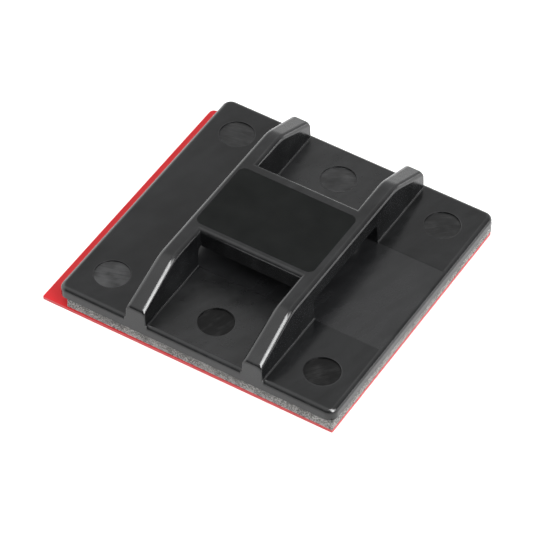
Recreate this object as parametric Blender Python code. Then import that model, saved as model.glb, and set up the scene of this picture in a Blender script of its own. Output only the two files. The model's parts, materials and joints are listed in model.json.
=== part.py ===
"""Adhesive cable tie mount: a moulded saddle on a foam pad with a peel-off liner.

Metres, +Z up. The rails run along Y, and the tie passes along X, through both rails and under the bridge.
The origin is at the middle of the plate, on the underside of the release liner.
"""

import math

import bmesh
import bpy

# Release liner: it reaches past the plate on the left as a pull tab, and its cuts run a little askew
LINER_THICKNESS = 0.0003
LINER_TAB = 0.00156
LINER_FRONT_OVERHANG = 0.00002
LINER_FRONT_SKEW = 0.00014
LINER_BACK_INSET = 0.0002
LINER_TAB_RADIUS = 0.0005
LINER_CUT_RADIUS = 0.0001

# Foam pad: laid a little to the right under the plate
FOAM_THICKNESS = 0.0011
FOAM_LEFT_INSET = 0.00092
FOAM_END_INSET = 0.00012
BOND_GAP = 0.00002

# The right cut goes through foam and liner at once, a little askew
RIGHT_CUT_INSET = 0.0001
RIGHT_CUT_SKEW = 0.00012

# Plate
PLATE_SIDE = 0.02825
PLATE_THICKNESS = 0.0011
PLATE_CORNER_RADIUS = 0.0009
PLATE_EDGE_RADIUS = 0.00048

# Rails: flush with the plate's front wall, and a little short of its back wall
RAIL_SPACING = 0.0119
RAIL_FOOT_WIDTH = 0.0021
RAIL_DRAFT = math.radians(2.95)
RAIL_HEIGHT = 0.00388
RAIL_FLAT_LENGTH = 0.0178
RAIL_FRONT_HEIGHT = 0.0016
RAIL_BACK_HEIGHT = 0.00185
RAIL_BACK_INSET = 0.00045
RAIL_BEND_RADIUS = 0.0037
RAIL_END_RADIUS = 0.00045
RAIL_SHOULDER_RADIUS = 0.0005
RAIL_FOOT_RADIUS = 0.00015
RAIL_CORNER_RADIUS = 0.0001

# Bridge, and the tie slot that runs under it and out through both rails
BRIDGE_LENGTH = 0.0097
BRIDGE_EDGE_RADIUS = 0.00045
SLOT_HEIGHT = 0.0022
SLOT_BRIDGE_HEIGHT = 0.00195
SLOT_LEAD_LENGTH = 0.0003
SLOT_OVERRUN = 0.00055
SLOT_CORNER_RADIUS = 0.00045

# Round ejector marks, in three columns and two rows
MARK_DIAMETER = 0.0033
MARK_DEPTH = 0.0001
MARK_SIDE_DISTANCE = 0.00333
MARK_END_DISTANCE = 0.00376

# Levels and half sizes that follow from the sizes above
FOAM_BOTTOM = LINER_THICKNESS + BOND_GAP
FOAM_TOP = FOAM_BOTTOM + FOAM_THICKNESS
PLATE_BOTTOM = FOAM_TOP + BOND_GAP
PLATE_TOP = PLATE_BOTTOM + PLATE_THICKNESS
HALF_PLATE = PLATE_SIDE / 2
RIGHT_CUT_FRONT = HALF_PLATE - RIGHT_CUT_INSET
RIGHT_CUT_BACK = RIGHT_CUT_FRONT - RIGHT_CUT_SKEW
RAIL_X = RAIL_SPACING / 2
RAIL_BACK = HALF_PLATE - RAIL_BACK_INSET
HALF_SLOT = BRIDGE_LENGTH / 2 + SLOT_OVERRUN

# The rails' and the bridge's roots run into the plate, below its rounded edge
ROOT_DEPTH = (PLATE_THICKNESS + PLATE_EDGE_RADIUS) / 2

# Facets on each round stretch, and how far a cutter runs past what it cuts
FILLET_FACETS = 5
BEND_FACETS = 8
MARK_FACETS = 36
CUT_MARGIN = 0.001
SHARP_ANGLE = math.radians(30)


def material(name, color, roughness):
    """A Principled BSDF with this colour and roughness."""
    made = bpy.data.materials.new(name)
    made.use_nodes = True
    shader = made.node_tree.nodes["Principled BSDF"]
    shader.inputs["Base Color"].default_value = (*color, 1.0)
    shader.inputs["Roughness"].default_value = roughness
    shader.inputs["Metallic"].default_value = 0.0
    made.diffuse_color = (*color, 1.0)
    return made


def add_object(name, mesh):
    """An object for this mesh, smooth apart from its sharp edges."""
    mesh.shade_smooth()
    mesh.set_sharp_from_angle(angle=SHARP_ANGLE)
    made = bpy.data.objects.new(name, mesh)
    bpy.context.scene.collection.objects.link(made)
    return made


def fillet(before, corner, after, radius, facets=FILLET_FACETS):
    """Points of the arc that rounds a corner of a flat path, from one tangent point to the other."""
    into = math.atan2(corner[1] - before[1], corner[0] - before[0])
    out = math.atan2(after[1] - corner[1], after[0] - corner[0])
    turn = math.remainder(out - into, math.tau)
    side = math.copysign(1.0, turn)
    tangent = radius * math.tan(abs(turn) / 2)
    centre_x = corner[0] - tangent * math.cos(into) - side * radius * math.sin(into)
    centre_y = corner[1] - tangent * math.sin(into) + side * radius * math.cos(into)
    points = []
    for step in range(facets + 1):
        angle = into + turn * step / facets
        x = centre_x + side * radius * math.sin(angle)
        y = centre_y - side * radius * math.cos(angle)
        points.append((x, y))
    return points


def rounded_outline(corners, radii):
    """A four-sided outline, anticlockwise, with a radius at each corner."""
    points = []
    for index, radius in enumerate(radii):
        after = corners[(index + 1) % 4]
        points += fillet(corners[index - 1], corners[index], after, radius)
    return points


def loft(name, sections):
    """A closed solid through sections that have as many points each, with flat caps."""
    shape = bmesh.new()
    rings = [[shape.verts.new(point) for point in section] for section in sections]
    for ring, following in zip(rings, rings[1:]):
        for index, vertex in enumerate(ring):
            shape.faces.new((ring[index - 1], vertex, following[index], following[index - 1]))
    shape.faces.new(list(reversed(rings[0])))
    shape.faces.new(rings[-1])
    bmesh.ops.recalc_face_normals(shape, faces=shape.faces)
    mesh = bpy.data.meshes.new(name)
    shape.to_mesh(mesh)
    shape.free()
    return mesh


def combined(name, base, changes):
    """The mesh of base after each (operation, tool mesh) in turn."""
    target = add_object(name, base)
    tools = []
    for operation, tool_mesh in changes:
        tool = add_object(name + "_tool", tool_mesh)
        tool.hide_render = True
        tool.display_type = "WIRE"
        tools.append(tool)
        boolean = target.modifiers.new(operation.title(), "BOOLEAN")
        boolean.operation = operation
        boolean.solver = "EXACT"
        boolean.object = tool
    graph = bpy.context.evaluated_depsgraph_get()
    mesh = bpy.data.meshes.new_from_object(target.evaluated_get(graph))
    for helper in [target, *tools]:
        bpy.data.objects.remove(helper, do_unlink=True)
    return mesh


def plate_mesh():
    """The plate, with its round corners and its rounded top edge."""
    levels = [(0.0, PLATE_BOTTOM)]
    edge = fillet((0.0, PLATE_BOTTOM), (0.0, PLATE_TOP), (HALF_PLATE, PLATE_TOP), PLATE_EDGE_RADIUS)
    levels += edge
    sections = []
    for inset, level in levels:
        half = HALF_PLATE - inset
        corners = [(-half, -half), (half, -half), (half, half), (-half, half)]
        outline = rounded_outline(corners, [PLATE_CORNER_RADIUS - inset] * 4)
        sections.append([(x, y, level) for x, y in outline])
    return loft("plate", sections)


def ramp_line(end, end_height):
    """The rail's top edge from its flat middle to one end, as (distance from the middle, height)."""
    flat_end = (RAIL_FLAT_LENGTH / 2, RAIL_HEIGHT)
    slope_end = (end, end_height)
    bend = fillet((0.0, RAIL_HEIGHT), flat_end, slope_end, RAIL_BEND_RADIUS, BEND_FACETS)
    return bend + fillet(flat_end, slope_end, (end, 0.0), RAIL_END_RADIUS)


def rail_top_line():
    """The rail's top edge seen from its side, as (y, height over the plate), from front to back."""
    front_half = [(-y, height) for y, height in reversed(ramp_line(HALF_PLATE, RAIL_FRONT_HEIGHT))]
    return front_half + ramp_line(RAIL_BACK, RAIL_BACK_HEIGHT)


def corner_inset(y):
    """How far the rail's sides draw in at y, where its end corners are rounded."""
    into_corner = max(y - RAIL_BACK, -HALF_PLATE - y) + RAIL_CORNER_RADIUS
    if into_corner <= 0.0:
        return 0.0
    return RAIL_CORNER_RADIUS - math.sqrt(max(RAIL_CORNER_RADIUS**2 - into_corner**2, 0.0))


def rail_section(centre_x, y, height):
    """The rail's outline across its length: flared feet, drafted sides and round shoulders."""
    foot = (RAIL_FOOT_WIDTH / 2 - corner_inset(y), 0.0)
    shoulder = (foot[0] - height * math.tan(RAIL_DRAFT), height)
    flare = fillet((HALF_PLATE, 0.0), foot, shoulder, RAIL_FOOT_RADIUS)
    rounding = fillet(foot, shoulder, (0.0, height), RAIL_SHOULDER_RADIUS)
    right = [(flare[0][0], -ROOT_DEPTH), *flare, *rounding]
    left = [(-x, z) for x, z in reversed(right)]
    return [(centre_x + x, y, PLATE_TOP + z) for x, z in right + left]


def rail_mesh(centre_x):
    """One rail, from the plate's front wall to just before its back wall."""
    return loft("rail", [rail_section(centre_x, y, height) for y, height in rail_top_line()])


def bridge_mesh():
    """The block between the rails, flush with their tops, before the slot is cut under it."""
    half = BRIDGE_LENGTH / 2
    root = (half, -ROOT_DEPTH)
    edge = fillet(root, (half, RAIL_HEIGHT), (0.0, RAIL_HEIGHT), BRIDGE_EDGE_RADIUS)
    back = [root, *edge]
    profile = back + [(-y, height) for y, height in reversed(back)]
    sections = [[(x, y, PLATE_TOP + height) for y, height in profile] for x in (-RAIL_X, RAIL_X)]
    return loft("bridge", sections)


def slot_section(x, slot_height):
    """The slot's outline at x, with round upper corners."""
    root = (HALF_SLOT, -ROOT_DEPTH - CUT_MARGIN)
    corner = fillet(root, (HALF_SLOT, slot_height), (0.0, slot_height), SLOT_CORNER_RADIUS)
    back = [root, *corner]
    profile = back + [(-y, height) for y, height in reversed(back)]
    return [(x, y, PLATE_TOP + height) for y, height in profile]


def slot_cutter():
    """What the tie slot takes out of the rails and the bridge, down past their roots."""
    rail_face = RAIL_X - RAIL_FOOT_WIDTH / 2
    lead_end = rail_face + SLOT_LEAD_LENGTH
    reach = RAIL_X + RAIL_FOOT_WIDTH + CUT_MARGIN
    right = [(rail_face, SLOT_BRIDGE_HEIGHT), (lead_end, SLOT_HEIGHT), (reach, SLOT_HEIGHT)]
    left = [(-x, height) for x, height in reversed(right)]
    return loft("slot", [slot_section(x, height) for x, height in left + right])


def mark_cutter(centre_x, centre_y):
    """A disc that sinks one ejector mark into the plate."""
    sections = []
    for level in (PLATE_TOP - MARK_DEPTH, PLATE_TOP + CUT_MARGIN):
        ring = []
        for step in range(MARK_FACETS):
            angle = math.tau * step / MARK_FACETS
            x = centre_x + MARK_DIAMETER / 2 * math.cos(angle)
            y = centre_y + MARK_DIAMETER / 2 * math.sin(angle)
            ring.append((x, y, level))
        sections.append(ring)
    return loft("mark", sections)


def build_mount_body():
    """The moulding: the plate, the saddle on it, and the marks in the plate."""
    saddle = combined(
        "saddle",
        rail_mesh(-RAIL_X),
        [("UNION", rail_mesh(RAIL_X)), ("UNION", bridge_mesh()), ("DIFFERENCE", slot_cutter())],
    )
    mark_x = HALF_PLATE - MARK_SIDE_DISTANCE
    mark_y = HALF_PLATE - MARK_END_DISTANCE
    marks = [mark_cutter(x, y) for x in (-mark_x, 0.0, mark_x) for y in (-mark_y, mark_y)]
    changes = [("UNION", saddle)] + [("DIFFERENCE", mark) for mark in marks]
    body = add_object("mount_body", combined("body", plate_mesh(), changes))
    body.data.materials.clear()
    body.data.materials.append(material("black_nylon", (0.022, 0.023, 0.024), 0.32))


def build_foam_pad():
    """The adhesive foam tape, just inside the plate's front and back walls."""
    left = -HALF_PLATE + FOAM_LEFT_INSET
    end = HALF_PLATE - FOAM_END_INSET
    outline = [(left, -end), (RIGHT_CUT_FRONT, -end), (RIGHT_CUT_BACK, end), (left, end)]
    sections = [[(x, y, level) for x, y in outline] for level in (FOAM_BOTTOM, FOAM_TOP)]
    pad = add_object("foam_pad", loft("foam", sections))
    pad.data.materials.append(material("grey_foam", (0.16, 0.16, 0.165), 0.9))


def build_release_liner():
    """The film under the foam, with a round back corner on its pull tab."""
    left = -HALF_PLATE - LINER_TAB
    front = -HALF_PLATE - LINER_FRONT_OVERHANG
    back = HALF_PLATE - LINER_BACK_INSET
    corners = [
        (left, front),
        (RIGHT_CUT_FRONT, front + LINER_FRONT_SKEW),
        (RIGHT_CUT_BACK, back),
        (left, back),
    ]
    outline = rounded_outline(corners, [LINER_CUT_RADIUS] * 3 + [LINER_TAB_RADIUS])
    sections = [[(x, y, level) for x, y in outline] for level in (0.0, LINER_THICKNESS)]
    film = add_object("release_liner", loft("liner", sections))
    film.data.materials.append(material("red_film", (0.70, 0.04, 0.045), 0.35))


def clear_scene():
    for old in list(bpy.data.objects):
        bpy.data.objects.remove(old, do_unlink=True)


clear_scene()
build_mount_body()
build_foam_pad()
build_release_liner()
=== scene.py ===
"""Looks of the adhesive cable tie mount: a black moulding on grey foam tape with a red release liner.

Metres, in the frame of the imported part: the rails run along Y, the tie passes along X, and the part stands
on the floor at Z = 0.
"""

import json
import math

import bmesh
import bpy
from mathutils import Matrix, Vector, noise

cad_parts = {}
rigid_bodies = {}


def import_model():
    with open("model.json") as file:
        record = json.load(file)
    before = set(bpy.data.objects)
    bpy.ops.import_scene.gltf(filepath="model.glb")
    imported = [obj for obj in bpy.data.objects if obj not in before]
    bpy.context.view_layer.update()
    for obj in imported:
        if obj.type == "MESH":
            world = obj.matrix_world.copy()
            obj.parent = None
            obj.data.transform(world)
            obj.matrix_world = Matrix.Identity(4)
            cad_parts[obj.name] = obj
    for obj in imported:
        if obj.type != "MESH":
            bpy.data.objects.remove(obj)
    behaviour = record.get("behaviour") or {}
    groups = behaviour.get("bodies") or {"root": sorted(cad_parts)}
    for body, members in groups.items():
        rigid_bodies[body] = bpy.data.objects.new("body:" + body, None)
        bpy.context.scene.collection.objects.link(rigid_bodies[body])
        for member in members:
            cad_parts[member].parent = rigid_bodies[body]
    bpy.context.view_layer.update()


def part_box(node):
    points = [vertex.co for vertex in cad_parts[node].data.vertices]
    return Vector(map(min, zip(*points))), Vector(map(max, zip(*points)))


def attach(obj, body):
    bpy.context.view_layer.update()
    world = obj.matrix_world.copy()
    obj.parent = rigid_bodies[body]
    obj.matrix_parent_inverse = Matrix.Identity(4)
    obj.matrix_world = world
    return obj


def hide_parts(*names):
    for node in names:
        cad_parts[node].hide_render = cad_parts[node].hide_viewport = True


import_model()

MM = 0.001

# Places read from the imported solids
BODY_LOW, BODY_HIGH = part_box("mount_body")
FOAM_LOW, FOAM_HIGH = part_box("foam_pad")
LINER_LOW, LINER_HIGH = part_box("release_liner")
HALF_PLATE = BODY_HIGH.y
PLATE_BOTTOM = BODY_LOW.z
RAIL_HEIGHT = 3.88 * MM
PLATE_TOP = BODY_HIGH.z - RAIL_HEIGHT

# Plate
PLATE_CORNER_RADIUS = 0.9 * MM
PLATE_EDGE_RADIUS = 0.48 * MM

# Rails
RAIL_X = 5.95 * MM
RAIL_FOOT_HALF_WIDTH = 1.05 * MM
RAIL_DRAFT = math.radians(2.95)
RAIL_FLAT_HALF_LENGTH = 8.9 * MM
RAIL_FRONT_HEIGHT = 1.6 * MM
RAIL_BACK_HEIGHT = 1.85 * MM
RAIL_BACK = HALF_PLATE - 0.45 * MM
RAIL_BEND_RADIUS = 3.7 * MM
RAIL_END_RADIUS = 0.45 * MM
RAIL_SHOULDER_RADIUS = 0.5 * MM
RAIL_FOOT_RADIUS = 0.15 * MM
RAIL_CORNER_RADIUS = 0.1 * MM

# Bridge, and the tie slot under it
HALF_BRIDGE = 4.85 * MM
BRIDGE_EDGE_RADIUS = 0.45 * MM
SLOT_HEIGHT = 2.2 * MM
SLOT_BRIDGE_HEIGHT = 1.95 * MM
SLOT_LEAD_LENGTH = 0.3 * MM
HALF_SLOT = 5.4 * MM
SLOT_CORNER_RADIUS = 0.45 * MM

# Ejector marks
MARK_RADIUS = 1.65 * MM
MARK_DEPTH = 0.1 * MM
MARK_LIP_WIDTH = 0.09 * MM
MARK_LIP_SLOPE = 0.05 * MM
MARK_LIP_HEIGHT = 0.02 * MM
MARK_X = 10.795 * MM
MARK_Y = 10.365 * MM

# Each ejector mark: column, row, how light its nylon is, the angle of its scratches and its specular level
EJECTOR_MARKS = [
    (-1, -1, 0.035, 20, 0.50),
    (-1, 1, 0.015, 15, 0.40),
    (0, -1, 0.002, 70, 0.20),
    (0, 1, 0.018, 35, 0.45),
    (1, -1, 0.002, 50, 0.22),
    (1, 1, 0.008, 40, 0.36),
]

# How deep the saddle is rooted in the plate, and how far a cutter reaches past what it cuts
ROOT_DEPTH = 0.79 * MM
CUT_MARGIN = 1.0 * MM

# Facets on round forms
FILLET_FACETS = 10
BEND_FACETS = 20
MARK_FACETS = 96

# Low mark left by the mould core that forms the tie slot: it was pulled out to the right
CORE_MARK_LEFT = -6.66 * MM
CORE_MARK_FRONT = -5.56 * MM
CORE_MARK_BACK = 5.49 * MM
CORE_MARK_RADIUS = 0.1 * MM
CORE_MARK_DEPTH = 0.02 * MM

# Finely textured patch on the bridge and on the rails' tops
PATCH_LOW = (-6.19 * MM, -4.20 * MM)
PATCH_HIGH = (5.87 * MM, 3.81 * MM)
PATCH_RADIUS = 0.7 * MM
PATCH_DEPTH = 0.006 * MM

# How far the centre of a level face may lie from a height and still count as at it
LEVEL_TOLERANCE = 0.001 * MM

# Foam and liner, whose cuts run a little askew: their corners from the front left, anticlockwise
RIGHT_CUT_SKEW = 0.12 * MM
LINER_FRONT_SKEW = 0.14 * MM
LINER_CUT_RADIUS = 0.1 * MM
LINER_TAB_RADIUS = 0.5 * MM
FOAM_CORNERS = [
    (FOAM_LOW.x, FOAM_LOW.y),
    (FOAM_HIGH.x, FOAM_LOW.y),
    (FOAM_HIGH.x - RIGHT_CUT_SKEW, FOAM_HIGH.y),
    (FOAM_LOW.x, FOAM_HIGH.y),
]
LINER_CORNERS = [
    (LINER_LOW.x, LINER_LOW.y),
    (LINER_HIGH.x, LINER_LOW.y + LINER_FRONT_SKEW),
    (LINER_HIGH.x - RIGHT_CUT_SKEW, LINER_HIGH.y),
    (LINER_LOW.x, LINER_HIGH.y),
]

# Torn cells on the foam's cut sides: large ones, small ones this many times finer, and the mesh for them
CELL_SIZE = 0.35 * MM
CELL_DEPTH = 0.045 * MM
SMALL_CELL_FINENESS = 2.7
SMALL_CELL_DEPTH = 0.02 * MM
FOAM_RIM_INSET = 0.01 * MM
FOAM_STEP = 0.12 * MM
FOAM_ROWS = 9

# Floor: just under the part, so that the two share no plane, with a share of its white as its own glow
FLOOR_HALF_SIDE = 2.0
FLOOR_LEVEL = -0.02 * MM
FLOOR_GLOW = 0.45

# Camera, fitted to the photograph: angles, distance, roll, lens and shift
IMAGE_SIDE = 533
SENSOR_WIDTH = 36.0
FOCAL_PIXELS = 3861.3
CAMERA_AZIMUTH = math.radians(30.70)
CAMERA_ELEVATION = math.radians(46.51)
CAMERA_ROLL = math.radians(1.135)
CAMERA_DISTANCE = 343.8 * MM
CENTRE_RIGHT_PIXELS = 11.53
CENTRE_DOWN_PIXELS = 2.68


def fillet(before, corner, after, radius, facets=FILLET_FACETS):
    """Points of the arc that rounds a corner of a flat path, from one tangent point to the other."""
    into = math.atan2(corner[1] - before[1], corner[0] - before[0])
    out = math.atan2(after[1] - corner[1], after[0] - corner[0])
    turn = math.remainder(out - into, math.tau)
    side = math.copysign(1.0, turn)
    tangent = radius * math.tan(abs(turn) / 2)
    centre_x = corner[0] - tangent * math.cos(into) - side * radius * math.sin(into)
    centre_y = corner[1] - tangent * math.sin(into) + side * radius * math.cos(into)
    points = []
    for step in range(facets + 1):
        angle = into + turn * step / facets
        x = centre_x + side * radius * math.sin(angle)
        y = centre_y - side * radius * math.cos(angle)
        points.append((x, y))
    return points


def rounded_corners(corners, radii):
    """A four-sided outline, anticlockwise from its front left corner, with a radius at each corner."""
    points = []
    for index, radius in enumerate(radii):
        after = corners[(index + 1) % 4]
        points += fillet(corners[index - 1], corners[index], after, radius)
    return points


def rounded_outline(low, high, radii):
    """A rectangle from low to high with a radius at each corner."""
    return rounded_corners([low, (high[0], low[1]), high, (low[0], high[1])], radii)


def loft(name, sections):
    """A closed solid through sections that have as many points each, with flat caps."""
    shape = bmesh.new()
    rings = [[shape.verts.new(point) for point in section] for section in sections]
    for ring, following in zip(rings, rings[1:]):
        for index, vertex in enumerate(ring):
            shape.faces.new((ring[index - 1], vertex, following[index], following[index - 1]))
    shape.faces.new(list(reversed(rings[0])))
    shape.faces.new(rings[-1])
    bmesh.ops.recalc_face_normals(shape, faces=shape.faces)
    mesh = bpy.data.meshes.new(name)
    shape.to_mesh(mesh)
    shape.free()
    return mesh


def add_object(name, mesh):
    """A new object in the scene, with this mesh."""
    made = bpy.data.objects.new(name, mesh)
    bpy.context.scene.collection.objects.link(made)
    return made


def combined(name, base, changes):
    """The mesh of base after each (operation, tool mesh) in turn."""
    target = add_object(name, base)
    tools = []
    for operation, tool_mesh in changes:
        tool = add_object(name + "_tool", tool_mesh)
        tools.append(tool)
        boolean = target.modifiers.new(operation.title(), "BOOLEAN")
        boolean.operation = operation
        boolean.solver = "EXACT"
        boolean.object = tool
    graph = bpy.context.evaluated_depsgraph_get()
    mesh = bpy.data.meshes.new_from_object(target.evaluated_get(graph))
    for helper in [target, *tools]:
        bpy.data.objects.remove(helper, do_unlink=True)
    return mesh


def plate_mesh():
    """The plate, with its round corners and its rounded top edge."""
    levels = [(0.0, PLATE_BOTTOM)]
    levels += fillet((0.0, PLATE_BOTTOM), (0.0, PLATE_TOP), (HALF_PLATE, PLATE_TOP), PLATE_EDGE_RADIUS)
    sections = []
    for inset, level in levels:
        half = HALF_PLATE - inset
        outline = rounded_outline((-half, -half), (half, half), [PLATE_CORNER_RADIUS - inset] * 4)
        sections.append([(x, y, level) for x, y in outline])
    return loft("plate", sections)


def ramp_line(end, end_height):
    """The rail's top edge from its flat middle to one end, as (distance from the middle, height)."""
    flat_end = (RAIL_FLAT_HALF_LENGTH, RAIL_HEIGHT)
    slope_end = (end, end_height)
    bend = fillet((0.0, RAIL_HEIGHT), flat_end, slope_end, RAIL_BEND_RADIUS, BEND_FACETS)
    return bend + fillet(flat_end, slope_end, (end, 0.0), RAIL_END_RADIUS)


def rail_top_line():
    """The rail's top edge seen from its side, as (y, height over the plate), from front to back."""
    front_half = [(-y, height) for y, height in reversed(ramp_line(HALF_PLATE, RAIL_FRONT_HEIGHT))]
    return front_half + ramp_line(RAIL_BACK, RAIL_BACK_HEIGHT)


def corner_inset(y):
    """How far the rail's sides draw in at y, where its end corners are rounded."""
    into_corner = max(y - RAIL_BACK, -HALF_PLATE - y) + RAIL_CORNER_RADIUS
    if into_corner <= 0.0:
        return 0.0
    return RAIL_CORNER_RADIUS - math.sqrt(max(RAIL_CORNER_RADIUS**2 - into_corner**2, 0.0))


def rail_section(centre_x, y, height):
    """The rail's outline across its length: flared feet, drafted sides and round shoulders."""
    foot = (RAIL_FOOT_HALF_WIDTH - corner_inset(y), 0.0)
    shoulder = (foot[0] - height * math.tan(RAIL_DRAFT), height)
    flare = fillet((HALF_PLATE, 0.0), foot, shoulder, RAIL_FOOT_RADIUS)
    rounding = fillet(foot, shoulder, (0.0, height), RAIL_SHOULDER_RADIUS)
    right = [(flare[0][0], -ROOT_DEPTH), *flare, *rounding]
    left = [(-x, z) for x, z in reversed(right)]
    return [(centre_x + x, y, PLATE_TOP + z) for x, z in right + left]


def rail_mesh(centre_x):
    """One rail, from the plate's front wall to just before its back wall."""
    return loft("rail", [rail_section(centre_x, y, height) for y, height in rail_top_line()])


def bridge_mesh():
    """The block between the rails, flush with their tops, before the slot is cut under it."""
    root = (HALF_BRIDGE, -ROOT_DEPTH)
    edge = fillet(root, (HALF_BRIDGE, RAIL_HEIGHT), (0.0, RAIL_HEIGHT), BRIDGE_EDGE_RADIUS)
    back = [root, *edge]
    profile = back + [(-y, height) for y, height in reversed(back)]
    sections = [[(x, y, PLATE_TOP + height) for y, height in profile] for x in (-RAIL_X, RAIL_X)]
    return loft("bridge", sections)


def slot_section(x, slot_height):
    """The slot's outline at x, with round upper corners."""
    root = (HALF_SLOT, -ROOT_DEPTH - CUT_MARGIN)
    corner = fillet(root, (HALF_SLOT, slot_height), (0.0, slot_height), SLOT_CORNER_RADIUS)
    back = [root, *corner]
    profile = back + [(-y, height) for y, height in reversed(back)]
    return [(x, y, PLATE_TOP + height) for y, height in profile]


def slot_cutter():
    """What the tie slot takes out of the rails and the bridge, down past their roots."""
    rail_face = RAIL_X - RAIL_FOOT_HALF_WIDTH
    lead_end = rail_face + SLOT_LEAD_LENGTH
    reach = RAIL_X + 2 * RAIL_FOOT_HALF_WIDTH + CUT_MARGIN
    right = [(rail_face, SLOT_BRIDGE_HEIGHT), (lead_end, SLOT_HEIGHT), (reach, SLOT_HEIGHT)]
    left = [(-x, height) for x, height in reversed(right)]
    return loft("slot", [slot_section(x, height) for x, height in left + right])


def turned(name, centre_x, centre_y, profile):
    """A solid turned about an upright axis, from (radius, level) points."""
    sections = []
    for radius, level in profile:
        ring = []
        for step in range(MARK_FACETS):
            angle = math.tau * step / MARK_FACETS
            ring.append((centre_x + radius * math.cos(angle), centre_y + radius * math.sin(angle), level))
        sections.append(ring)
    return loft(name, sections)


def mark_lip(centre_x, centre_y):
    """The low lip that the plastic leaves round an ejector pin's end."""
    wide = MARK_RADIUS + MARK_LIP_WIDTH
    profile = [
        (wide, PLATE_TOP - MARK_DEPTH),
        (wide, PLATE_TOP),
        (wide - MARK_LIP_SLOPE, PLATE_TOP + MARK_LIP_HEIGHT),
    ]
    return turned("lip", centre_x, centre_y, profile)


def mark_cutter(centre_x, centre_y):
    """A disc that sinks one ejector mark into the plate."""
    profile = [(MARK_RADIUS, PLATE_TOP - MARK_DEPTH), (MARK_RADIUS, PLATE_TOP + CUT_MARGIN)]
    return turned("mark", centre_x, centre_y, profile)


def outline_cutter(name, outline, depth, top):
    """A cutter that sinks this outline by depth under the level top."""
    sections = [[(x, y, level) for x, y in outline] for level in (top - depth, top + CUT_MARGIN)]
    return loft(name, sections)


class Nodes:
    """A node tree, with short ways to add to it."""

    def __init__(self, tree):
        self.tree = tree

    def add(self, kind):
        return self.tree.nodes.new(kind)

    def link(self, output, socket):
        self.tree.links.new(output, socket)

    def math(self, operation, first, second):
        """One value worked out from two."""
        joined = self.add("ShaderNodeMath")
        joined.operation = operation
        self.link(first, joined.inputs[0])
        self.link(second, joined.inputs[1])
        return joined.outputs["Value"]

    def ranged(self, value, low, high, start=0.3, end=0.7, smooth=False):
        """The value, moved from the range start to end into the range low to high."""
        spread = self.add("ShaderNodeMapRange")
        if smooth:
            spread.interpolation_type = "SMOOTHSTEP"
        for name, number in (("From Min", start), ("From Max", end), ("To Min", low), ("To Max", high)):
            spread.inputs[name].default_value = number
        self.link(value, spread.inputs["Value"])
        return spread.outputs["Result"]

    def axes(self, vector):
        """The vector's parts, by the names X, Y and Z."""
        parts = self.add("ShaderNodeSeparateXYZ")
        self.link(vector, parts.inputs["Vector"])
        return parts.outputs


class Finish(Nodes):
    """A material, with short ways to add what the finishes below are made of."""

    def __init__(self, name):
        self.material = bpy.data.materials.new(name)
        self.material.use_nodes = True
        super().__init__(self.material.node_tree)
        self.shader = self.tree.nodes["Principled BSDF"]
        self.place = self.add("ShaderNodeTexCoord").outputs["Object"]

    def stretched(self, scale, turn=0.0):
        """The place on the object, turned about Z and scaled by axis."""
        mapping = self.add("ShaderNodeMapping")
        mapping.vector_type = "TEXTURE"
        mapping.inputs["Rotation"].default_value = (0.0, 0.0, turn)
        mapping.inputs["Scale"].default_value = scale
        self.link(self.place, mapping.inputs["Vector"])
        return mapping.outputs["Vector"]

    def noise(self, size, detail=3.0, roughness=0.55, place=None):
        """Noise whose grains are about this size in metres, as a value around 0.5."""
        texture = self.add("ShaderNodeTexNoise")
        texture.inputs["Scale"].default_value = 1.0 / size
        texture.inputs["Detail"].default_value = detail
        texture.inputs["Roughness"].default_value = roughness
        self.link(place or self.place, texture.inputs["Vector"])
        return texture.outputs["Fac"]

    def colors(self, value, stops):
        """Colours along the value, from (position, colour) stops."""
        ramp = self.add("ShaderNodeValToRGB")
        steps = ramp.color_ramp.elements
        while len(steps) < len(stops):
            steps.new(0.5)
        for step, (position, color) in zip(steps, stops):
            step.position = position
            step.color = (*color, 1.0)
        self.link(value, ramp.inputs["Fac"])
        return ramp.outputs["Color"]

    def bump(self, height, depth, normal=None):
        """A bumped normal from a height of 0 to 1, which is this many metres deep."""
        bumped = self.add("ShaderNodeBump")
        bumped.inputs["Strength"].default_value = 1.0
        bumped.inputs["Distance"].default_value = depth
        self.link(height, bumped.inputs["Height"])
        if normal:
            self.link(normal, bumped.inputs["Normal"])
        return bumped.outputs["Normal"]

    def done(self, color=None, roughness=None, normal=None):
        """The material, once its shader takes these."""
        for socket, value in (("Base Color", color), ("Roughness", roughness), ("Normal", normal)):
            if value:
                self.link(value, self.shader.inputs[socket])
        return self.material


def nylon(name, dark, light, smooth, rough, specular=0.5):
    """Moulded black nylon: semi-gloss, with flow mottling, a faint ripple and fine handling marks."""
    finish = Finish(name)
    finish.shader.inputs["IOR"].default_value = 1.53
    finish.shader.inputs["Specular IOR Level"].default_value = specular
    along_flow = finish.stretched((1.1 * MM, 5.0 * MM, 3.0 * MM), math.radians(-18))
    flow = finish.noise(1.0, 4.0, 0.6, along_flow)
    mottle = finish.ranged(finish.noise(7.0 * MM, 3.0), 0.55, 1.45)
    color = finish.colors(finish.math("MULTIPLY", flow, mottle), [(0.3, dark), (0.7, light)])
    along_marks = finish.stretched((2.4 * MM, 0.5 * MM, 1.5 * MM), math.radians(24))
    smear = finish.noise(1.0, 3.0, place=along_marks)
    blotch = finish.noise(0.9 * MM, 4.0, 0.65)
    gloss = finish.ranged(finish.math("MULTIPLY", smear, blotch), smooth, rough, 0.15, 0.38)
    ripple = finish.bump(finish.noise(2.6 * MM, 2.0), 0.012 * MM)
    grain = finish.bump(finish.noise(0.16 * MM, 3.0), 0.0016 * MM, ripple)
    return finish.done(color, gloss, grain)


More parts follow.
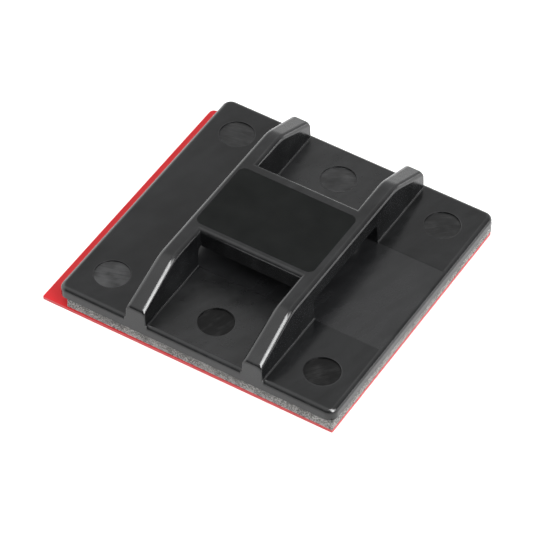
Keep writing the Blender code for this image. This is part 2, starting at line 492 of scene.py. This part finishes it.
def textured_nylon():
    """The patch's fine eroded texture: matte, and darker than the polished nylon."""
    finish = Finish("textured_nylon")
    finish.shader.inputs["Specular IOR Level"].default_value = 0.07
    stops = [(0.3, (0.0052, 0.0059, 0.0057)), (0.7, (0.0088, 0.0097, 0.0093))]
    color = finish.colors(finish.noise(2.0 * MM, 4.0), stops)
    gloss = finish.ranged(finish.noise(0.5 * MM, 3.0), 0.55, 0.72)
    grain = finish.bump(finish.noise(0.10 * MM, 2.0, 0.6), 0.008 * MM)
    return finish.done(color, gloss, grain)


def ground_nylon(name, grey, turn, specular):
    """The floor of an ejector mark: the pin's ground end leaves fine scratches in one direction."""
    finish = Finish(name)
    finish.shader.inputs["Specular IOR Level"].default_value = specular
    scratch = finish.noise(1.0, 3.0, 0.7, finish.stretched((1.9 * MM, 0.16 * MM, 1.0 * MM), turn))
    cloud = finish.noise(1.0, 2.0, 0.6, finish.stretched((1.6 * MM, 1.1 * MM, 1.0 * MM), turn))
    worn = finish.math("MULTIPLY", scratch, cloud)
    color = (grey, 1.02 * grey, 1.06 * grey)
    dark = tuple(0.3 * part for part in color)
    light = tuple(part + 0.014 for part in color)
    paint = finish.colors(worn, [(0.14, dark), (0.25, color), (0.42, light)])
    gloss = finish.ranged(worn, 0.30, 0.5, 0.15, 0.4)
    return finish.done(paint, gloss, finish.bump(worn, 0.012 * MM))


def acrylic_foam():
    """Grey closed-cell tape, cut through: mottled, with light and dark cells, and painted shade that darkens
    it toward its top, where it meets the plate.
    """
    finish = Finish("grey_foam_surface")
    finish.shader.inputs["Roughness"].default_value = 0.9
    finish.shader.inputs["Specular IOR Level"].default_value = 0.25
    cells = finish.noise(0.085 * MM, 1.0, 0.6)
    clouds = finish.ranged(finish.noise(0.8 * MM, 3.0), 0.88, 1.12)
    # Painted shade: the colour darkens from the foot of the tape toward its top, under the plate.
    painted_top_shade = finish.ranged(finish.axes(finish.place)["Z"], 1.12, 0.86, FOAM_LOW.z, FOAM_HIGH.z)
    mixed = finish.math("MULTIPLY", finish.math("MULTIPLY", cells, clouds), painted_top_shade)
    stops = [(0.36, (0.098, 0.097, 0.094)), (0.5, (0.205, 0.203, 0.198)), (0.64, (0.50, 0.495, 0.48))]
    color = finish.colors(mixed, stops)
    return finish.done(color, normal=finish.bump(cells, 0.05 * MM))


def red_film():
    """Polyester release film: an even red with a satin face."""
    finish = Finish("red_film_surface")
    finish.shader.inputs["Specular IOR Level"].default_value = 0.3
    stops = [(0.3, (0.71, 0.013, 0.019)), (0.7, (0.77, 0.020, 0.027))]
    color = finish.colors(finish.noise(3.0 * MM, 3.0), stops)
    gloss = finish.ranged(finish.noise(0.7 * MM, 3.0), 0.28, 0.42)
    return finish.done(color, gloss, finish.bump(finish.noise(1.8 * MM, 2.0), 0.008 * MM))


def red_film_edge():
    """The film's cut edge, which lets light through and reads paler than its face."""
    finish = Finish("red_film_cut_edge")
    finish.shader.inputs["Roughness"].default_value = 0.55
    stops = [(0.3, (0.62, 0.060, 0.066)), (0.7, (0.70, 0.100, 0.106))]
    return finish.done(finish.colors(finish.noise(0.5 * MM), stops))


def finish_piece(piece, node):
    """Ties a piece to the CAD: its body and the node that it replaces."""
    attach(piece, "root")
    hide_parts(node)


def shade_by_angle(mesh, degrees):
    """Smooth shading, with the edges that turn more than this left sharp."""
    mesh.shade_smooth()
    mesh.set_sharp_from_angle(angle=math.radians(degrees))


def paint_faces(mesh, material, holds):
    """Gives the material to the faces whose centre and normal pass the test."""
    mesh.materials.append(material)
    slot = len(mesh.materials) - 1
    for face in mesh.polygons:
        if holds(face.center, face.normal):
            face.material_index = slot


def lies_flat(centre, normal, top, depth):
    """Whether a face is level and lies this deep under top."""
    return normal.z > 0.9999 and abs(top - depth - centre.z) < LEVEL_TOLERANCE


def in_mark(column, row):
    """The test for the faces of one ejector mark's floor."""
    def holds(centre, normal):
        near = math.hypot(centre.x - column * MARK_X, centre.y - row * MARK_Y) < MARK_RADIUS
        return near and lies_flat(centre, normal, PLATE_TOP, MARK_DEPTH)
    return holds


def on_plate(centre, normal):
    return lies_flat(centre, normal, PLATE_TOP, 0.0)


def in_channel(centre, normal):
    return abs(centre.x) < RAIL_X and on_plate(centre, normal)


def in_patch(centre, normal):
    return lies_flat(centre, normal, BODY_HIGH.z, PATCH_DEPTH)


def in_core_mark(centre, normal):
    return lies_flat(centre, normal, PLATE_TOP, CORE_MARK_DEPTH)


def saddle_mesh():
    """The two rails and the bridge, with the tie slot cut through them."""
    changes = [("UNION", rail_mesh(RAIL_X)), ("UNION", bridge_mesh()), ("DIFFERENCE", slot_cutter())]
    return combined("saddle", rail_mesh(-RAIL_X), changes)


def moulding_mesh():
    """The whole moulding: plate, marks and saddle."""
    core_low = (CORE_MARK_LEFT, CORE_MARK_FRONT)
    core_high = (HALF_PLATE + CUT_MARGIN, CORE_MARK_BACK)
    core_outline = rounded_outline(core_low, core_high, [CORE_MARK_RADIUS] * 4)
    patch_outline = rounded_outline(PATCH_LOW, PATCH_HIGH, [PATCH_RADIUS] * 4)
    centres = [(column * MARK_X, row * MARK_Y) for column, row, *_ in EJECTOR_MARKS]
    changes = [("DIFFERENCE", outline_cutter("core", core_outline, CORE_MARK_DEPTH, PLATE_TOP))]
    changes += [("UNION", mark_lip(*centre)) for centre in centres]
    changes += [("DIFFERENCE", mark_cutter(*centre)) for centre in centres]
    changes += [("UNION", saddle_mesh())]
    changes += [("DIFFERENCE", outline_cutter("patch", patch_outline, PATCH_DEPTH, BODY_HIGH.z))]
    return combined("body", plate_mesh(), changes)


def paint_moulding(mesh):
    """Polished nylon all over, then the level faces: the flanges darker as painted shade, the channel between
    the rails lighter as painted light, and the core mark's, the patch's and the ejector marks' own finishes.
    """
    mesh.materials.clear()
    polished = nylon("black_nylon_surface", (0.0036, 0.0039, 0.0042), (0.0120, 0.0125, 0.0133), 0.15, 0.25)
    mesh.materials.append(polished)
    # Painted shade: the same nylon with a darker colour on the flanges.
    flange_painted_shade = nylon("flange_nylon_painted_shade", (0.0026, 0.0029, 0.0032), (0.0098, 0.0103, 0.0110), 0.15, 0.23, 0.45)
    paint_faces(mesh, flange_painted_shade, on_plate)
    # Painted light: the same nylon with a lighter colour on the channel floor between the rails.
    channel_painted_light = nylon("channel_nylon_painted_light", (0.0042, 0.0045, 0.0048), (0.0130, 0.0135, 0.0143), 0.27, 0.35)
    paint_faces(mesh, channel_painted_light, in_channel)
    core = nylon("core_mark_nylon", (0.0100, 0.0104, 0.0110), (0.0180, 0.0184, 0.0195), 0.20, 0.25)
    paint_faces(mesh, core, in_core_mark)
    paint_faces(mesh, textured_nylon(), in_patch)
    for index, (column, row, grey, turn, specular) in enumerate(EJECTOR_MARKS):
        ground = ground_nylon(f"ground_nylon_{index}", grey, math.radians(turn), specular)
        paint_faces(mesh, ground, in_mark(column, row))


def build_mount_body():
    """The black moulding, with its normals evened over its flat faces."""
    mesh = moulding_mesh()
    shade_by_angle(mesh, 30)
    paint_moulding(mesh)
    body = add_object("moulding", mesh)
    weighted = body.modifiers.new("Weighted normals", "WEIGHTED_NORMAL")
    weighted.keep_sharp = True
    finish_piece(body, "mount_body")


def torn_inset(x, y, z):
    """How far the foam's cut side draws in at a point: uneven cells, never outside the pad."""
    place = Vector((x, y, z)) / CELL_SIZE
    large = 0.5 + 0.5 * noise.noise(place)
    small = 0.5 + 0.5 * noise.noise(place * SMALL_CELL_FINENESS)
    return CELL_DEPTH * large + SMALL_CELL_DEPTH * small


def build_foam_pad():
    """The tape, with a fine uneven surface on its four cut sides."""
    outline = []
    for start, end in zip(FOAM_CORNERS, FOAM_CORNERS[1:] + FOAM_CORNERS[:1]):
        start, end = Vector(start), Vector(end)
        count = round((end - start).length / FOAM_STEP)
        outline += [start.lerp(end, index / count) for index in range(count)]
    sections = []
    for row in range(FOAM_ROWS + 1):
        level = FOAM_LOW.z + (FOAM_HIGH.z - FOAM_LOW.z) * row / FOAM_ROWS
        ring = []
        for point in outline:
            inset = torn_inset(point.x, point.y, level) if 0 < row < FOAM_ROWS else FOAM_RIM_INSET
            ring.append((*point * (1 - inset / HALF_PLATE), level))
        sections.append(ring)
    pad = add_object("foam_tape", loft("foam", sections))
    shade_by_angle(pad.data, 50)
    pad.data.materials.append(acrylic_foam())
    finish_piece(pad, "foam_pad")


def build_release_liner():
    """The red film, flat under the tape, with its pull tab on the left."""
    outline = rounded_corners(LINER_CORNERS, [LINER_CUT_RADIUS] * 3 + [LINER_TAB_RADIUS])
    sections = [[(x, y, level) for x, y in outline] for level in (LINER_LOW.z, LINER_HIGH.z)]
    film = add_object("liner_film", loft("liner", sections))
    shade_by_angle(film.data, 40)
    film.data.materials.append(red_film())
    paint_faces(film.data, red_film_edge(), lambda centre, normal: abs(normal.z) < 0.5)
    finish_piece(film, "release_liner")


def white_floor():
    """White that keeps the object's shadow, and glows a little for camera, glossy and transmission rays."""
    finish = Finish("floor_white")
    finish.shader.inputs["Base Color"].default_value = (0.8, 0.8, 0.8, 1.0)
    finish.shader.inputs["Roughness"].default_value = 0.9
    finish.shader.inputs["Specular IOR Level"].default_value = 0.0
    rays = finish.add("ShaderNodeLightPath").outputs
    seen = finish.math("MAXIMUM", rays["Is Camera Ray"], rays["Is Glossy Ray"])
    seen = finish.math("MAXIMUM", seen, rays["Is Transmission Ray"])
    glow = finish.add("ShaderNodeEmission")
    finish.link(finish.ranged(seen, 0.0, FLOOR_GLOW, 0.0, 1.0), glow.inputs["Strength"])
    both = finish.add("ShaderNodeAddShader")
    finish.link(finish.shader.outputs["BSDF"], both.inputs[0])
    finish.link(glow.outputs["Emission"], both.inputs[1])
    finish.link(both.outputs["Shader"], finish.tree.nodes["Material Output"].inputs["Surface"])
    return finish.material


def build_floor():
    """A level white floor under the part."""
    half = FLOOR_HALF_SIDE
    corners = [(-half, -half, 0.0), (half, -half, 0.0), (half, half, 0.0), (-half, half, 0.0)]
    mesh = bpy.data.meshes.new("floor")
    mesh.from_pydata(corners, [], [(0, 1, 2, 3)])
    floor = add_object("floor", mesh)
    floor.location.z = FLOOR_LEVEL
    floor.data.materials.append(white_floor())


def build_camera():
    """A camera at the photograph's angle, turned about its own axis and shifted as the frame needs."""
    toward_camera = Vector(
        (
            math.sin(CAMERA_AZIMUTH) * math.cos(CAMERA_ELEVATION),
            -math.cos(CAMERA_AZIMUTH) * math.cos(CAMERA_ELEVATION),
            math.sin(CAMERA_ELEVATION),
        )
    )
    level_right = (-toward_camera).cross(Vector((0.0, 0.0, 1.0))).normalized()
    level_up = level_right.cross(-toward_camera)
    right = level_right * math.cos(CAMERA_ROLL) + level_up * math.sin(CAMERA_ROLL)
    up = level_up * math.cos(CAMERA_ROLL) - level_right * math.sin(CAMERA_ROLL)
    turn = Matrix((right, up, toward_camera)).transposed().to_4x4()
    data = bpy.data.cameras.new("camera")
    data.sensor_width = SENSOR_WIDTH
    data.lens = SENSOR_WIDTH * FOCAL_PIXELS / IMAGE_SIDE
    data.shift_x = -CENTRE_RIGHT_PIXELS / IMAGE_SIDE
    data.shift_y = CENTRE_DOWN_PIXELS / IMAGE_SIDE
    data.clip_start = 0.01
    data.clip_end = 10.0
    camera = bpy.data.objects.new("camera", data)
    camera.matrix_world = Matrix.Translation(toward_camera * CAMERA_DISTANCE) @ turn
    bpy.context.scene.collection.objects.link(camera)
    bpy.context.scene.camera = camera


def build_world():
    """Even studio light, darker in front and on the right and brighter on the left; camera rays see white."""
    world = bpy.data.worlds.new("studio")
    world.use_nodes = True
    nodes = Nodes(world.node_tree)
    background = nodes.tree.nodes["Background"]
    toward = nodes.axes(nodes.add("ShaderNodeTexCoord").outputs["Generated"])
    room = nodes.ranged(toward["Y"], 0.28, 0.72, -0.9, -0.2, smooth=True)
    left = nodes.ranged(toward["X"], 1.5, 0.0, -0.9, -0.5, smooth=True)
    right = nodes.ranged(toward["X"], 0.0, 0.40, 0.35, 0.70, smooth=True)
    level = nodes.math("SUBTRACT", nodes.math("ADD", room, left), right)
    camera = nodes.add("ShaderNodeLightPath").outputs["Is Camera Ray"]
    nodes.link(nodes.math("MAXIMUM", level, camera), background.inputs["Strength"])
    background.inputs["Color"].default_value = (1.0, 1.0, 1.0, 1.0)
    bpy.context.scene.world = world


def add_softbox(name, toward, distance, width, height, radiance, diffuse=True):
    """A square-on panel light in this direction, with this radiance, unseen by the camera."""
    toward = Vector(toward).normalized()
    data = bpy.data.lights.new(name, "AREA")
    data.shape = "RECTANGLE"
    data.size = width
    data.size_y = height
    data.energy = radiance * math.pi * width * height
    lamp = bpy.data.objects.new(name, data)
    lamp.location = toward * distance
    lamp.rotation_euler = toward.to_track_quat("Z", "Y").to_euler()
    lamp.visible_camera = False
    lamp.visible_diffuse = diffuse
    bpy.context.scene.collection.objects.link(lamp)


def build_lamps():
    """Two softboxes that light the part, and panels that only its gloss reflects, as lines on its edges."""
    add_softbox("key_softbox", (0.80, -0.10, 0.60), 1.0, 0.85, 0.55, 6.0)
    add_softbox("key_core", (0.60, -0.16, 0.78), 1.0, 0.36, 1.3, 14.0, diffuse=False)
    add_softbox("top_softbox", (-0.30, -0.30, 0.90), 1.2, 1.4, 1.1, 0.6)
    add_softbox("rim_strip", (0.80, 0.59, 0.085), 1.4, 0.7, 0.16, 4.4, diffuse=False)
    add_softbox("back_panel", (-0.36, 0.93, 0.09), 1.5, 0.80, 0.42, 0.6, diffuse=False)
    add_softbox("back_strip", (0.42, 0.90, 0.08), 1.5, 0.45, 0.20, 2.4, diffuse=False)
    add_softbox("crown_strip", (-0.11, 0.60, 0.79), 1.2, 0.17, 0.90, 0.65, diffuse=False)


for startup in [thing for thing in bpy.data.objects if thing.name in ("Cube", "Light", "Camera")]:
    bpy.data.objects.remove(startup, do_unlink=True)
bpy.context.scene.view_settings.view_transform = "Standard"
build_mount_body()
build_foam_pad()
build_release_liner()
build_floor()
build_camera()
build_world()
build_lamps()
